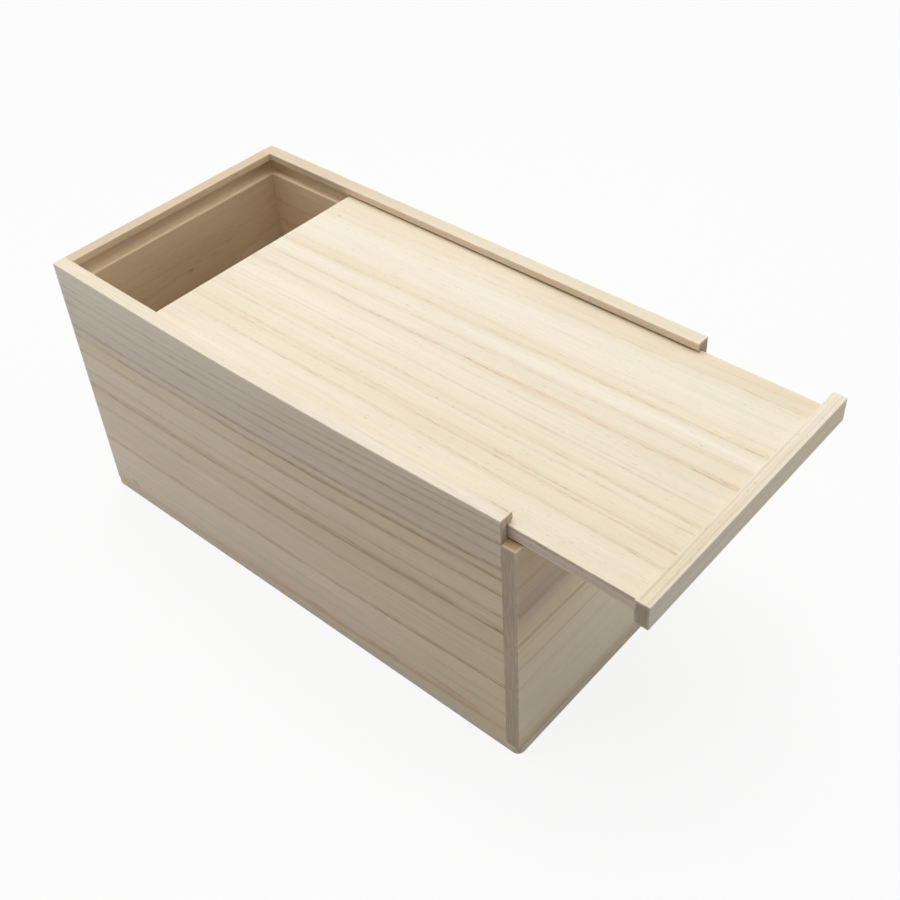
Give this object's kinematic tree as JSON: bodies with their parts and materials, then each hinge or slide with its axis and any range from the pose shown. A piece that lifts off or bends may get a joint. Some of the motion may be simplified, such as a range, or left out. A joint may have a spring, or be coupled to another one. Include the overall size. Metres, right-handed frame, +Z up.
{
  "type": "sliding-lid wooden box",
  "caption": "Long plain pale wooden box whose flat lid slides in grooves and ends in a full-width cross bar.",
  "frame": {"origin": "centre of the base board's underside, where the box stands", "axes": "+Z up, +Y along the box from the open front end to the back, the lid slides out towards -Y, +X to the right"},
  "size_m": [0.15, 0.3624, 0.1545],
  "materials": {
    "panel_wood": "unfinished planed paulownia, matt",
    "lid_wood": "unfinished planed paulownia, matt"
  },
  "bodies": {
    "box": {"base_board": "panel_wood", "left_side_panel": "panel_wood", "right_side_panel": "panel_wood", "front_panel": "panel_wood", "back_panel": "panel_wood"},
    "lid": {"lid_panel": "lid_wood", "lid_bar": "lid_wood"}
  },
  "joints": [
    {"name": "lid_slide", "type": "slide", "parent": "box", "child": "lid", "axis": [0, -1, 0], "range_m": [-0.063, 0.238]}
  ]
}
